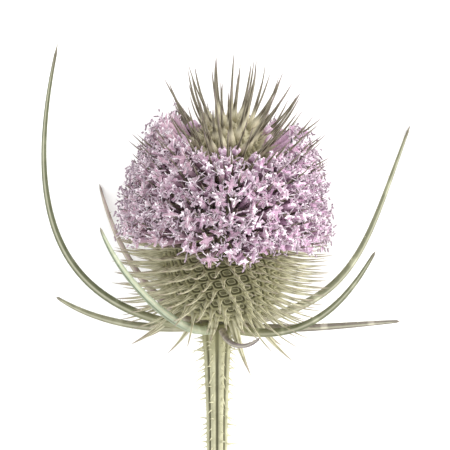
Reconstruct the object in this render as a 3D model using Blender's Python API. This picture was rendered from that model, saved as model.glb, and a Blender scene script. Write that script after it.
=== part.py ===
# A teasel head in flower, cut with a short length of its stem and laid down on a table.
#
# The plant is modelled upright in its own frame: the stem runs up +Z and ends under the head
# at the origin, +X is the right hand side and -Y is the front. The last step lays it on its
# back, so that the crown points along world +Y and the front looks up, along world +Z.
#
# Pieces: the ridged stem with its prickles, nine involucral bracts, the receptacle with its
# net of cells and its spines, and the ring of lilac florets in a groove round the receptacle.

import math
import random

import bmesh
import bpy
import numpy as np
from mathutils import Matrix, Vector

MM = 0.001
GAP = 0.3 * MM
FRONT = -math.pi / 2

# The stem
STEM_PROFILE = ((-38.0, 2.45), (-20.0, 2.5), (-7.0, 2.95), (-2.0, 3.35), (1.2, 3.5))
STEM_RIDGES = 8
RIDGE_HEIGHT = 0.28 * MM
PRICKLE_ZONE = (-36.5 * MM, -3.0 * MM)
PRICKLE_ROWS = 14
PRICKLES_PER_ROW = 5
PRICKLE_LENGTH = (1.3 * MM, 3.0 * MM)
PRICKLE_RADIUS = 0.32 * MM
PRICKLE_ROOT = 0.5 * MM
PRICKLE_SWAY = 0.06
PRICKLE_LEAN = (-28.0, 4.0)
# ridges by which each row of prickles is turned from the last
ROW_TURN = 3

# The head: (height, radius) up its own axis, which leans to the right of the stem
HEAD_LEAN = math.radians(4.0)
HEAD_PROFILE = (
    (1.9, 3.9), (3.0, 8.0), (5.0, 10.9), (8.0, 12.6), (12.0, 13.3), (18.0, 13.5), (25.0, 13.0),
    (31.0, 11.8), (37.0, 9.7), (42.0, 7.0), (46.0, 3.9), (48.0, 0.4),
)
PROFILE_SAMPLES = 1201
# The cells sit in opposite pairs, each pair turned from the one below. The next cell along a
# flat row is so many pairs up, and the next along a steep row so many, on the other side.
CELL_AREA = 6.1 * MM * MM
PAIR_ANGLE = -math.radians(69.62)
FLAT_PAIRS = 5
STEEP_PAIRS = 13
CELL_DEPTH = 1.0 * MM
OPEN_APEX_SITES = 14

# Spines: elevation above the horizontal and length, by height up the head
SPINE_LEAN = (
    (1.9, -62.0), (3.0, -48.0), (5.0, -27.0), (9.0, -10.0), (18.0, -2.0), (25.0, 10.0),
    (31.0, 25.0), (37.0, 36.0), (40.0, 43.0), (44.0, 58.0), (48.0, 80.0),
)
SPINE_LENGTH = ((1.9, 10.0), (6.0, 11.0), (30.0, 11.2), (35.0, 12.6), (40.0, 13.8), (48.0, 13.8))
SPINE_ROOT = 1.3 * MM
SPINE_LIFT = 0.7 * MM
SPINE_SWAY = 4.0
# share of the length, half width, keel depth; at the crown and neck they taper straight
SPINE_SECTIONS = ((0.0, 0.85, 0.95), (0.42, 0.4, 0.5))
STRAIGHT_SECTIONS = ((0.0, 0.75, 0.85),)
KEEL_ABOVE = 0.35
# at the neck one site in three has a spine, and at the crown four of each five
NECK_HEIGHT = 4.0 * MM
NECK_SITES = 3
CROWN_SITES = 5
CROWN_SPARE = 2
SPINE_ELBOW_ROOM = 1.9 * MM
BEND_TRIES = (0, 6, -6, 12, -12, 18, -18, 25, -25, 32, -32)
OBSTACLE_STEPS = 60

# The ring of florets and the groove that it grows from. Both of its edges dip at the front.
BAND_LOW = 20.6 * MM
BAND_HIGH = 40.3 * MM
LOW_DIP = 2.4 * MM
HIGH_DIP = 4.8 * MM
GROOVE_DEPTH = 2.2 * MM
RING_STEPS = 26
RING_ROWS = 4
FLORET_EDGE = 0.9 * MM
FLORET_SWAY = 3.0
FLORET_REACH = 10.2 * MM
# share of the reach, radius of the tube
FLORET_TUBE = ((-0.12, 0.7), (0.88, 0.95))
LOBE_RADIUS = 2.95 * MM
NOTCH_RADIUS = 1.95 * MM
THROAT_DEPTH = 0.8 * MM
CROWDING = 0.7 * MM

# The bracts lie with the head's axis this far above the table, resting on three tips
AXIS_HEIGHT = 25.0 * MM
# radius and height where each bract starts, in millimetres
BRACT_START = (4.15, 0.35)
BRACT_WIDTH = 2.3 * MM
BRACT_THICKNESS = 1.95 * MM
BRACT_TAPER = 0.47
BRACT_WAIST = 0.15
KEEL_BELOW = 0.6
LEAST_THICKNESS = 0.2
BRACT_STEPS = 14
LOOK_AHEAD = 0.02
# name: (azimuth at the base, at the tip, then radius and height of the curve's two handles
# and of its tip). Azimuth 0 is the right, 90 the back and 180 the left.
BRACTS = {
    "bract_left_long": (205, 181, (25.4, 4.0), (46.2, 14.1), (34.5, 63.1)),
    "bract_left_low": (165, 161, (15.3, -1.6), (29.8, -0.3), (39.1, 5.2)),
    "bract_front_left": (245, 229, (15.0, 0.0), (30.0, 13.0), (36.0, 25.5)),
    "bract_front_right": (285, 290, (10.0, -3.0), (19.0, -1.5), (26.0, 2.2)),
    "bract_right_curved": (325, 340, (19.0, -1.6), (27.6, 3.2), (36.0, 18.9)),
    "bract_right_low": (5, 7, (16.3, -1.0), (29.4, 0.1), (41.4, 0.8)),
    "bract_right_long": (45, 29.0, (40.5, 0.0), (38.4, 14.7), (51.7, 44.1)),
    "bract_back_short": (85, 83, (10.0, -2.0), (18.0, -3.0), (25.2, -1.0)),
    "bract_back_left": (125, 138, (20.0, 0.0), (31.0, 12.0), (37.4, 30.2)),
}
SLIM_BRACTS = {"bract_front_right": 0.65}

COLOURS = {
    "stem_green": ((0.42, 0.43, 0.24), 0.6),
    "bract_green": ((0.36, 0.40, 0.22), 0.55),
    "spine_green": ((0.47, 0.46, 0.24), 0.6),
    "floret_lilac": ((0.62, 0.44, 0.62), 0.7),
}


def look_up(table, height):
    """The second column of a table in millimetres or degrees, at a height in metres."""
    return float(np.interp(height / MM, [row[0] for row in table], [row[1] for row in table]))


def head_radius(height):
    return look_up(HEAD_PROFILE, height) * MM


def around(radius, azimuth, height):
    return Vector((radius * math.cos(azimuth), radius * math.sin(azimuth), height))


def band_low(azimuth):
    return BAND_LOW - LOW_DIP * max(0.0, math.cos(azimuth - FRONT)) ** 2


def band_high(azimuth):
    return BAND_HIGH - HIGH_DIP * max(0.0, math.cos(azimuth - FRONT)) ** 2


def make_material(name):
    colour, roughness = COLOURS[name]
    made = bpy.data.materials.new(name)
    made.use_nodes = True
    shader = made.node_tree.nodes["Principled BSDF"]
    shader.inputs["Base Color"].default_value = (*colour, 1.0)
    shader.inputs["Roughness"].default_value = roughness
    shader.inputs["Metallic"].default_value = 0.0
    return made


def make_object(name, mesh_builder, material=None):
    """Turns a bmesh into an object with outward faces, and frees the bmesh."""
    bmesh.ops.recalc_face_normals(mesh_builder, faces=mesh_builder.faces)
    mesh = bpy.data.meshes.new(name)
    mesh_builder.to_mesh(mesh)
    mesh_builder.free()
    made = bpy.data.objects.new(name, mesh)
    if material:
        mesh.materials.append(material)
    bpy.context.scene.collection.objects.link(made)
    return made


def loft(rings, tip=None, closed_ring=False):
    """A closed skin over rings of points: capped, or drawn to a tip, or joined end to start."""
    bm = bmesh.new()
    loops = [[bm.verts.new(point) for point in ring] for ring in rings]
    pairs = list(zip(loops, loops[1:]))
    if closed_ring:
        pairs.append((loops[-1], loops[0]))
    for lower, upper in pairs:
        for i in range(len(lower)):
            j = (i + 1) % len(lower)
            bm.faces.new((lower[i], lower[j], upper[j], upper[i]))
    if not closed_ring:
        bm.faces.new(loops[0])
        if tip is None:
            bm.faces.new(loops[-1])
        else:
            point = bm.verts.new(tip)
            last = loops[-1]
            for i in range(len(last)):
                bm.faces.new((last[i], last[(i + 1) % len(last)], point))
    return bm


def boolean(target, operation, others):
    """Applies one Boolean with all the other objects, then removes them."""
    group = bpy.data.collections.new(target.name + "_tools")
    bpy.context.scene.collection.children.link(group)
    for other in others:
        bpy.context.scene.collection.objects.unlink(other)
        group.objects.link(other)
    step = target.modifiers.new(operation.title(), "BOOLEAN")
    step.operation = operation
    step.operand_type = "COLLECTION"
    step.collection = group
    step.solver = "MANIFOLD"
    graph = bpy.context.evaluated_depsgraph_get()
    mesh = bpy.data.meshes.new_from_object(target.evaluated_get(graph))
    target.modifiers.clear()
    target.data = mesh
    for other in others:
        bpy.data.objects.remove(other)
    bpy.data.collections.remove(group)


def frame_along(direction, up):
    """Two unit vectors across a direction: sideways, and towards up."""
    side = direction.cross(up)
    if side.length < 1e-6:
        side = direction.cross(Vector((1, 0, 0)))
    side.normalize()
    return side, side.cross(direction).normalized()


def head_sites():
    """Where each cell sits: (azimuth, height), in opposite pairs over equal areas."""
    bottom, top = HEAD_PROFILE[0][0] * MM, HEAD_PROFILE[-1][0] * MM
    heights = np.linspace(bottom, top, PROFILE_SAMPLES)
    radii = np.array([head_radius(h) for h in heights])
    slant = np.hypot(np.diff(heights), np.diff(radii))
    area = np.concatenate([[0.0], np.cumsum(math.pi * (radii[1:] + radii[:-1]) * slant)])
    pairs = np.arange(int(area[-1] / CELL_AREA / 2))
    at = np.interp((2 * pairs + 1) * CELL_AREA, area, heights)
    return [
        (pair * PAIR_ANGLE + side * math.pi, float(h)) for pair, h in enumerate(at) for side in (0, 1)
    ]


def flat_neighbour(n):
    return n + 2 * FLAT_PAIRS


def steep_neighbour(n):
    """The site so many pairs up, of the opposite one of the pair."""
    return (n + 2 * STEEP_PAIRS) ^ 1


def in_band(azimuth, height, margin):
    return band_low(azimuth) + margin < height < band_high(azimuth) - margin


def receptacle_net(sites, material):
    """The receptacle's skin: one four-sided cell between each four sites, sunk where it shows."""
    count = len(sites) - OPEN_APEX_SITES
    bm = bmesh.new()
    verts = [bm.verts.new(around(head_radius(h), a, h)) for a, h in sites[:count]]
    cells = []
    for n in range(count - 2 * (FLAT_PAIRS + STEEP_PAIRS)):
        flat, steep = flat_neighbour(n), steep_neighbour(n)
        corners = (n, flat, steep_neighbour(flat), steep)
        face = bm.faces.new([verts[i] for i in corners])
        azimuth, height = sites[steep]
        if height < band_low(azimuth):
            cells.append(face)
    rims = [edge for edge in bm.edges if edge.is_boundary]
    for level in (HEAD_PROFILE[0][0] * MM, HEAD_PROFILE[-1][0] * MM):
        pole = bm.verts.new((0, 0, level))
        middle = (HEAD_PROFILE[0][0] + HEAD_PROFILE[-1][0]) * MM / 2
        for edge in rims:
            if (edge.verts[0].co.z > middle) == (level > middle):
                bm.faces.new((edge.verts[0], edge.verts[1], pole))
    bmesh.ops.recalc_face_normals(bm, faces=bm.faces)
    bmesh.ops.poke(bm, faces=cells, offset=-CELL_DEPTH)
    return make_object("receptacle", bm, material)


def is_spare(n, azimuth, height):
    """Sites without a spine: most of those at the neck, and some at the crown."""
    if height < NECK_HEIGHT:
        return n % NECK_SITES != 0
    return height > band_low(azimuth) and n % CROWN_SITES == CROWN_SPARE


def spine_line(azimuth, height, rng):
    """Root point, direction and length of the spine at one site."""
    lean = math.radians(look_up(SPINE_LEAN, height) + rng.uniform(-SPINE_SWAY, SPINE_SWAY))
    turn = math.radians(rng.uniform(-SPINE_SWAY, SPINE_SWAY))
    length = look_up(SPINE_LENGTH, height) * MM * rng.uniform(0.93, 1.04)
    outward = around(math.cos(lean), azimuth + turn, math.sin(lean))
    return around(head_radius(height), azimuth, height), outward, length


def spine_points(root, outward, length, count=6):
    """The middle line of a spine, which curves up a little towards its tip."""
    up = frame_along(outward, Vector((0, 0, 1)))[1]
    shares = [i / (count - 1) for i in range(count)]
    return [root + outward * length * t + up * SPINE_LIFT * t * t for t in shares]


def make_spine(root, outward, length, sections):
    """A keeled three-sided spine, broad where it grows from the receptacle."""
    side, up = frame_along(outward, Vector((0, 0, 1)))
    rings = []
    for share, half_width, keel in sections:
        middle = root + outward * length * share + up * SPINE_LIFT * share * share
        if share == 0.0:
            middle = root - outward * SPINE_ROOT
        above = up * keel * KEEL_ABOVE * MM
        below = up * keel * (1 - KEEL_ABOVE) * MM
        across = side * half_width * MM
        rings.append([middle + across + above, middle - across + above, middle - below])
    return make_object("spine", loft(rings, tip=root + outward * length + up * SPINE_LIFT))


def bend_clear(root, outward, length, obstacles):
    """Turns a spine sideways until it clears the bracts, or gives None if it can't."""
    lean = Matrix.Rotation(HEAD_LEAN, 4, "Y")
    for degrees in BEND_TRIES:
        turned = Matrix.Rotation(math.radians(degrees), 3, "Z") @ outward
        line = np.array([lean @ p for p in spine_points(root, turned, length)[1:]])
        apart = np.linalg.norm(line[:, None, :] - obstacles[None, :, :], axis=2).min()
        if apart > SPINE_ELBOW_ROOM:
            return turned
    return None


def make_floret(azimuth, height, rng):
    """A tube that opens in four lobes round a sunk throat."""
    lean = math.radians(look_up(SPINE_LEAN, height) + rng.uniform(-FLORET_SWAY, FLORET_SWAY))
    turn = math.radians(rng.uniform(-FLORET_SWAY, FLORET_SWAY))
    outward = around(math.cos(lean), azimuth + turn, math.sin(lean))
    root = around(head_radius(height), azimuth, height)
    reach = FLORET_REACH * rng.uniform(0.9, 1.06)
    side, up = frame_along(outward, Vector((0, 0, 1)))
    roll = rng.uniform(0, math.pi / 2)

    def ring(share, count, radii):
        middle = root + outward * reach * share
        angles = [roll + 2 * math.pi * i / count for i in range(count)]
        return [
            middle + (side * math.cos(a) + up * math.sin(a)) * radii[i % len(radii)]
            for i, a in enumerate(angles)
        ]

    bm = bmesh.new()
    foot, neck = (
        [bm.verts.new(p) for p in ring(share, 4, (radius * MM,))] for share, radius in FLORET_TUBE
    )
    mouth = [bm.verts.new(p) for p in ring(1.0, 8, (LOBE_RADIUS, NOTCH_RADIUS))]
    throat = bm.verts.new(root + outward * (reach - THROAT_DEPTH))
    bm.faces.new(foot)
    for i in range(4):
        j = (i + 1) % 4
        bm.faces.new((foot[i], foot[j], neck[j], neck[i]))
        bm.faces.new((neck[i], mouth[2 * i + 1], mouth[2 * i]))
        bm.faces.new((neck[i], neck[j], mouth[2 * i + 1]))
        bm.faces.new((neck[j], mouth[2 * j], mouth[2 * i + 1]))
    for i in range(8):
        bm.faces.new((mouth[i], mouth[(i + 1) % 8], throat))
    return make_object("floret", bm)


def make_ring(name, inset, outer_extra, material=None):
    """The band round the receptacle: its outside follows the head, its inside the groove."""
    rows = []
    shares = [i / (RING_ROWS - 1) for i in range(RING_ROWS)]
    azimuths = [2 * math.pi * k / RING_STEPS for k in range(RING_STEPS)]

    def row(share, beside):
        points = []
        for azimuth in azimuths:
            low, high = band_low(azimuth) + inset, band_high(azimuth) - inset
            height = low + (high - low) * share
            points.append(around(head_radius(height) + beside, azimuth, height))
        return points

    for share in shares:
        rows.append(row(share, outer_extra))
    for share in reversed(shares):
        rows.append(row(share, inset - GROOVE_DEPTH))
    return make_object(name, loft(rows, closed_ring=True), material)


def stem_radius(height, angle):
    """The stem's surface, with a furrow on the front and ridges on both sides of it."""
    ridge = RIDGE_HEIGHT * (0.5 - 0.5 * math.cos(STEM_RIDGES * (angle - FRONT)))
    return look_up(STEM_PROFILE, height) * MM - RIDGE_HEIGHT + ridge


def make_stem(material, rng):
    """The cut stem: lengthwise ridges, and prickles that point out and a little down."""
    count = STEM_RIDGES * 4
    angles = [2 * math.pi * i / count for i in range(count)]
    rings = []
    for millimetres, _ in STEM_PROFILE:
        height = millimetres * MM
        rings.append([around(stem_radius(height, a), a, height) for a in angles])
    stem = make_object("stem", loft(rings), material)
    prickles = []
    low, high = PRICKLE_ZONE
    for row in range(PRICKLE_ROWS):
        for place in range(PRICKLES_PER_ROW):
            share = (row + rng.uniform(0.1, 0.9)) / PRICKLE_ROWS
            height = low + (high - low) * share
            turn = round(row * ROW_TURN + place * STEM_RIDGES / PRICKLES_PER_ROW) + 0.5
            sway = rng.uniform(-PRICKLE_SWAY, PRICKLE_SWAY)
            angle = 2 * math.pi * turn / STEM_RIDGES + sway
            lean = math.radians(rng.uniform(*PRICKLE_LEAN))
            outward = around(math.cos(lean), angle, math.sin(lean))
            root = around(stem_radius(height, angle) - PRICKLE_ROOT, angle, height)
            side, up = frame_along(outward, Vector((0, 0, 1)))
            ring = [
                root + (side * math.cos(t) + up * math.sin(t)) * PRICKLE_RADIUS
                for t in (0.0, 2 * math.pi / 3, 4 * math.pi / 3)
            ]
            length = rng.uniform(*PRICKLE_LENGTH) + PRICKLE_ROOT
            prickles.append(make_object("prickle", loft([ring], tip=root + outward * length)))
    boolean(stem, "UNION", prickles)
    return stem


def bract_curve(shape, share):
    """A point on a bract's middle line: a Bezier curve whose azimuth drifts to the tip's."""
    base_turn, tip_turn, *handles = shape
    points = [BRACT_START, *handles]
    weights = (
        (1 - share) ** 3, 3 * share * (1 - share) ** 2, 3 * share ** 2 * (1 - share), share ** 3
    )
    radius = sum(w * p[0] for w, p in zip(weights, points)) * MM
    height = sum(w * p[1] for w, p in zip(weights, points)) * MM
    drift = 1 - (1 - share) ** 2
    return around(radius, math.radians(base_turn + (tip_turn - base_turn) * drift), height)


def make_bract(name, shape, material):
    """A long keeled blade that narrows to its tip and lies flat where it meets the table."""
    rings = []
    slim = SLIM_BRACTS.get(name, 1.0)
    for i in range(BRACT_STEPS):
        share = i / BRACT_STEPS
        here, ahead = bract_curve(shape, share), bract_curve(shape, share + LOOK_AHEAD)
        along = (ahead - here).normalized()
        below = along.cross(Vector((-here.y, here.x, 0))).normalized()
        across = along.cross(below)
        taper = (1 - share) ** BRACT_TAPER
        waist = 1 - BRACT_WAIST * (1 - math.cos(math.pi * share))
        half = BRACT_WIDTH / 2 * taper * waist * slim
        thick = BRACT_THICKNESS * (LEAST_THICKNESS + (1 - LEAST_THICKNESS) * taper) * slim
        rings.append([
            here + across * half,
            here + below * thick * KEEL_BELOW,
            here - across * half,
            here - below * thick * (1 - KEEL_BELOW),
        ])
    bm = loft(rings, tip=bract_curve(shape, 1.0))
    for vert in bm.verts:
        vert.co.y = min(vert.co.y, AXIS_HEIGHT)
    return make_object(name, bm, material)


def bract_obstacles():
    shares = [i / OBSTACLE_STEPS for i in range(OBSTACLE_STEPS + 1)]
    return np.array([tuple(bract_curve(shape, t)) for shape in BRACTS.values() for t in shares])


def make_receptacle(sites, material, rng):
    receptacle = receptacle_net(sites, material)
    obstacles = bract_obstacles()
    spines = []
    for n, (azimuth, height) in enumerate(sites):
        if is_spare(n, azimuth, height) or in_band(azimuth, height, -CROWDING):
            continue
        root, outward, length = spine_line(azimuth, height, rng)
        turned = bend_clear(root, outward, length, obstacles)
        if turned is not None:
            lower = NECK_HEIGHT < height < band_low(azimuth)
            sections = SPINE_SECTIONS if lower else STRAIGHT_SECTIONS
            spines.append(make_spine(root, turned, length, sections))
    boolean(receptacle, "UNION", spines)
    boolean(receptacle, "DIFFERENCE", [make_ring("groove", 0.0, 0.9 * MM)])
    return receptacle


def make_floret_band(sites, material, rng):
    """The florets, larger than life, on every second site so that each has room to open."""
    band = make_ring("floret_band", GAP, 0.0, material)
    grown = []
    for azimuth, height in sites[::2]:
        if in_band(azimuth, height, FLORET_EDGE):
            grown.append(make_floret(azimuth, height, rng))
    boolean(band, "UNION", grown)
    return band


def lay_down(standing, leaning):
    """Parents the pieces to an empty that puts the plant on its back, centred on the origin."""
    laid = bpy.data.objects.new("laid_plant", None)
    lean = bpy.data.objects.new("leaning_head", None)
    for empty in (laid, lean):
        bpy.context.scene.collection.objects.link(empty)
    lean.parent = laid
    lean.rotation_euler = (0, HEAD_LEAN, 0)
    laid.rotation_euler = (-math.pi / 2, 0, 0)
    for piece in standing:
        piece.parent = laid
    for piece in leaning:
        piece.parent = lean
    bpy.context.view_layer.update()
    corners = np.array([
        tuple(piece.matrix_world @ vert.co)
        for piece in (*standing, *leaning)
        for vert in piece.data.vertices
    ])
    middle = (corners.min(axis=0) + corners.max(axis=0)) / 2
    laid.location = (-middle[0], -middle[1], AXIS_HEIGHT)


def main():
    for old in list(bpy.data.objects):
        bpy.data.objects.remove(old)
    materials = {name: make_material(name) for name in COLOURS}
    rng = random.Random(7)
    sites = head_sites()
    stem = make_stem(materials["stem_green"], rng)
    bracts = [make_bract(name, shape, materials["bract_green"]) for name, shape in BRACTS.items()]
    receptacle = make_receptacle(sites, materials["spine_green"], rng)
    band = make_floret_band(sites, materials["floret_lilac"], rng)
    lay_down([stem, *bracts], [receptacle, band])


main()
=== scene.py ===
import math
import random

import bmesh
import bpy
import numpy as np
from mathutils import Matrix, Vector


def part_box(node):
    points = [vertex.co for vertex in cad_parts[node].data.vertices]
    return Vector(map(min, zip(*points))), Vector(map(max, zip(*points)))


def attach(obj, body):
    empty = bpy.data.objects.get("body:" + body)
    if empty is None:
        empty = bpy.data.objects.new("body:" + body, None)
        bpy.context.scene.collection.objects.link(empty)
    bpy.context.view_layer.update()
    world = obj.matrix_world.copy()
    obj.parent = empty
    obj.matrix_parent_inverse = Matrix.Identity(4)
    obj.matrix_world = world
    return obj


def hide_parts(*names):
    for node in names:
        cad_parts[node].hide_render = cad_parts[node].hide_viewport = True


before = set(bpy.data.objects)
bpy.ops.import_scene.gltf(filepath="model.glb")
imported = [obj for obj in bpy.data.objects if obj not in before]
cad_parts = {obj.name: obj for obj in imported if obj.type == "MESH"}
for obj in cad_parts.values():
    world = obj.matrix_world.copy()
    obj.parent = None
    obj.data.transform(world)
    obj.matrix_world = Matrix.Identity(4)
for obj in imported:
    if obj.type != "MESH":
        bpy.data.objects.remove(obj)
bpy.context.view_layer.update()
mm = 0.001
upright = Vector((0, 0, 1))
front = -math.pi / 2

# The plant's own frame: the stem runs up +Z and ends under the head at the origin, and -Y is
# the front. It lies on its back, so the crown points along world +Y and the front looks up.
plant = {
    "stemLength": 38 * mm,
    "axisHeight": 25 * mm,
    "headLean": math.radians(4.0),
}

head = {
    # height and radius up the head's own axis, in mm
    "profile": (
        (1.9, 3.9), (3.0, 8.0), (5.0, 10.9), (8.0, 12.6), (12.0, 13.3), (18.0, 13.5), (25.0, 13.0),
        (31.0, 11.8), (37.0, 9.7), (42.0, 7.0), (46.0, 3.9), (48.0, 0.4),
    ),
    # the cells sit in opposite pairs, each turned from the pair below. The next cell in a flat
    # row is so many pairs up, and in a steep row so many, on the other side
    "cellArea": 6.1 * mm * mm,
    "pairAngle": -math.radians(69.62),
    "flatPairs": 5,
    "steepPairs": 13,
    "openApexSites": 14,
    # the florets stand from the lower to the upper height, and both edges dip at the front
    "bandLow": 20.6 * mm,
    "bandHigh": 40.3 * mm,
    "lowDip": 2.4 * mm,
    "highDip": 4.8 * mm,
    # points at which the head's surface is measured
    "samples": 1201,
}

# azimuth in degrees at base and tip, then radius and height in mm of two handles and the tip
bractShapes = {
    "bract_left_long": (205, 181, (25.4, 4.0), (46.2, 14.1), (34.5, 63.1)),
    "bract_left_low": (165, 161, (15.3, -1.6), (29.8, -0.3), (39.1, 5.2)),
    "bract_front_left": (245, 229, (15.0, 0.0), (30.0, 13.0), (36.0, 25.5)),
    "bract_front_right": (285, 290, (10.0, -3.0), (19.0, -1.5), (26.0, 2.2)),
    "bract_right_curved": (325, 340, (19.0, -1.6), (27.6, 3.2), (36.0, 18.9)),
    "bract_right_low": (5, 7, (16.3, -1.0), (29.4, 0.1), (41.4, 0.8)),
    "bract_right_long": (45, 29.0, (40.5, 0.0), (38.4, 14.7), (51.7, 44.1)),
    "bract_back_short": (85, 83, (10.0, -2.0), (18.0, -3.0), (25.2, -1.0)),
    "bract_back_left": (125, 138, (20.0, 0.0), (31.0, 12.0), (37.4, 30.2)),
}
bractStart = (4.15, 0.35)


def lookUp(table, height):
    # the second column of a table whose first is in mm, at a height in metres
    return np.interp(height / mm, [row[0] for row in table], [row[1] for row in table])


def around(radius, azimuth, height):
    return Vector((radius * math.cos(azimuth), radius * math.sin(azimuth), height))


def bractPoint(shape, share):
    # a bract's middle line, at a share of the way from its base to its tip
    baseTurn, tipTurn, *handles = shape
    points = [bractStart, *handles]
    weights = (
        (1 - share) ** 3, 3 * share * (1 - share) ** 2, 3 * share ** 2 * (1 - share), share ** 3
    )
    radius = sum(w * p[0] for w, p in zip(weights, points)) * mm
    height = sum(w * p[1] for w, p in zip(weights, points)) * mm
    drift = 1 - (1 - share) ** 2
    return around(radius, math.radians(baseTurn + (tipTurn - baseTurn) * drift), height)


# the cut end of the stem and the tip of the longest bract say where the plant's origin lies
origin = Vector((
    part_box("bract_right_long")[1].x - bractPoint(bractShapes["bract_right_long"], 1.0).x,
    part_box("stem")[0].y + plant["stemLength"],
    plant["axisHeight"],
))
laidDown = Matrix.Translation(origin) @ Matrix.Rotation(-math.pi / 2, 4, "X")
headFrame = laidDown @ Matrix.Rotation(plant["headLean"], 4, "Y")
print("plant origin", [round(x / mm, 2) for x in origin])


def headSites():
    # (azimuth, height) of each cell, in opposite pairs over equal areas
    bottom, top = head["profile"][0][0] * mm, head["profile"][-1][0] * mm
    heights = np.linspace(bottom, top, head["samples"])
    radii = lookUp(head["profile"], heights) * mm
    slant = np.hypot(np.diff(heights), np.diff(radii))
    area = np.concatenate([[0.0], np.cumsum(math.pi * (radii[1:] + radii[:-1]) * slant)])
    pairs = np.arange(int(area[-1] / head["cellArea"] / 2))
    at = np.interp((2 * pairs + 1) * head["cellArea"], area, heights)
    return [
        (pair * head["pairAngle"] + side * math.pi, float(h))
        for pair, h in enumerate(at) for side in (0, 1)
    ]


def bandLow(azimuth):
    return head["bandLow"] - head["lowDip"] * max(0.0, math.cos(azimuth - front)) ** 2


def bandHigh(azimuth):
    return head["bandHigh"] - head["highDip"] * max(0.0, math.cos(azimuth - front)) ** 2


def inBand(azimuth, height, margin):
    return bandLow(azimuth) + margin < height < bandHigh(azimuth) - margin


sites = headSites()


# Colours and shader node groups

def tone(code):
    # a colour as given on screen, in the linear values that the nodes take
    parts = [int(code[i:i + 2], 16) / 255 for i in (0, 2, 4)]
    return (*(p / 12.92 if p < 0.04045 else ((p + 0.055) / 1.055) ** 2.4 for p in parts), 1.0)


nodeStep = 180


def put(tree, kind, inputs=None, **settings):
    node = tree.nodes.new(kind)
    node.location.x = len(tree.nodes) * nodeStep
    for name, value in settings.items():
        setattr(node, name, value)
    for name, value in (inputs or {}).items():
        node.inputs[name].default_value = value
    return node


def wire(tree, *pairs):
    for source, output, target, socket in pairs:
        tree.links.new(source.outputs[output], target.inputs[socket])


def newGroup(name, inputs, outputs):
    group = bpy.data.node_groups.new(name, "ShaderNodeTree")
    for socket, kind in inputs.items():
        group.interface.new_socket(socket, in_out="INPUT", socket_type=kind)
    for socket, kind in outputs.items():
        group.interface.new_socket(socket, in_out="OUTPUT", socket_type=kind)
    return group, put(group, "NodeGroupInput"), put(group, "NodeGroupOutput")


def mottleGroup():
    # two colours in soft patches over the tissue, with finer flecks in them
    group, given, result = newGroup(
        "tissueMottle",
        {"Light": "NodeSocketColor", "Dark": "NodeSocketColor", "Scale": "NodeSocketFloat"},
        {"Color": "NodeSocketColor", "Mask": "NodeSocketFloat"},
    )
    place = put(group, "ShaderNodeTexCoord")
    patches = put(group, "ShaderNodeTexNoise", {"Detail": 5.0, "Roughness": 0.65})
    level = put(group, "ShaderNodeMapRange", {"From Min": 0.32, "From Max": 0.68})
    mix = put(group, "ShaderNodeMix", data_type="RGBA")
    wire(
        group,
        (place, "Object", patches, "Vector"),
        (given, "Scale", patches, "Scale"),
        (patches, "Fac", level, "Value"),
        (level, "Result", mix, "Factor"),
        (given, "Light", mix, "A"),
        (given, "Dark", mix, "B"),
        (mix, "Result", result, "Color"),
        (level, "Result", result, "Mask"),
    )
    return group


def markGroup():
    # goes over to another colour where a mark on the mesh rises from one level to another
    group, given, result = newGroup(
        "shadeByMark",
        {
            "Color": "NodeSocketColor", "Far Color": "NodeSocketColor", "Mark": "NodeSocketFloat",
            "From": "NodeSocketFloat", "To": "NodeSocketFloat", "Strength": "NodeSocketFloat",
        },
        {"Color": "NodeSocketColor", "Mask": "NodeSocketFloat"},
    )
    level = put(group, "ShaderNodeMapRange", interpolation_type="SMOOTHSTEP")
    share = put(group, "ShaderNodeMath", operation="MULTIPLY")
    mix = put(group, "ShaderNodeMix", data_type="RGBA")
    wire(
        group,
        (given, "Mark", level, "Value"),
        (given, "From", level, "From Min"),
        (given, "To", level, "From Max"),
        (level, "Result", share, 0),
        (given, "Strength", share, 1),
        (share, 0, mix, "Factor"),
        (given, "Color", mix, "A"),
        (given, "Far Color", mix, "B"),
        (mix, "Result", result, "Color"),
        (share, 0, result, "Mask"),
    )
    return group


def fibreGroup():
    # fine lines that run the length of a blade or stem
    group, given, result = newGroup(
        "fibreLines",
        {
            "Across": "NodeSocketFloat", "Along": "NodeSocketFloat",
            "Count": "NodeSocketFloat", "Length": "NodeSocketFloat",
        },
        {"Mask": "NodeSocketFloat"},
    )
    over = put(group, "ShaderNodeMath", operation="MULTIPLY")
    down = put(group, "ShaderNodeMath", operation="MULTIPLY")
    join = put(group, "ShaderNodeCombineXYZ")
    lines = put(group, "ShaderNodeTexNoise", {"Scale": 1.0, "Detail": 3.0, "Roughness": 0.6})
    wire(
        group,
        (given, "Across", over, 0),
        (given, "Count", over, 1),
        (given, "Along", down, 0),
        (given, "Length", down, 1),
        (over, 0, join, "X"),
        (down, 0, join, "Y"),
        (join, 0, lines, "Vector"),
        (lines, "Fac", result, "Mask"),
    )
    return group


mottle, byMark, fibres = mottleGroup(), markGroup(), fibreGroup()

# what all the finishes share
surface = {
    "ior": 1.42,
    "sheenRoughness": 0.4,
    # how far the fibres change the roughness either way, and how high they stand
    "roughnessSpread": 0.12,
    "fibreHeight": 0.1 * mm,
}


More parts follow.
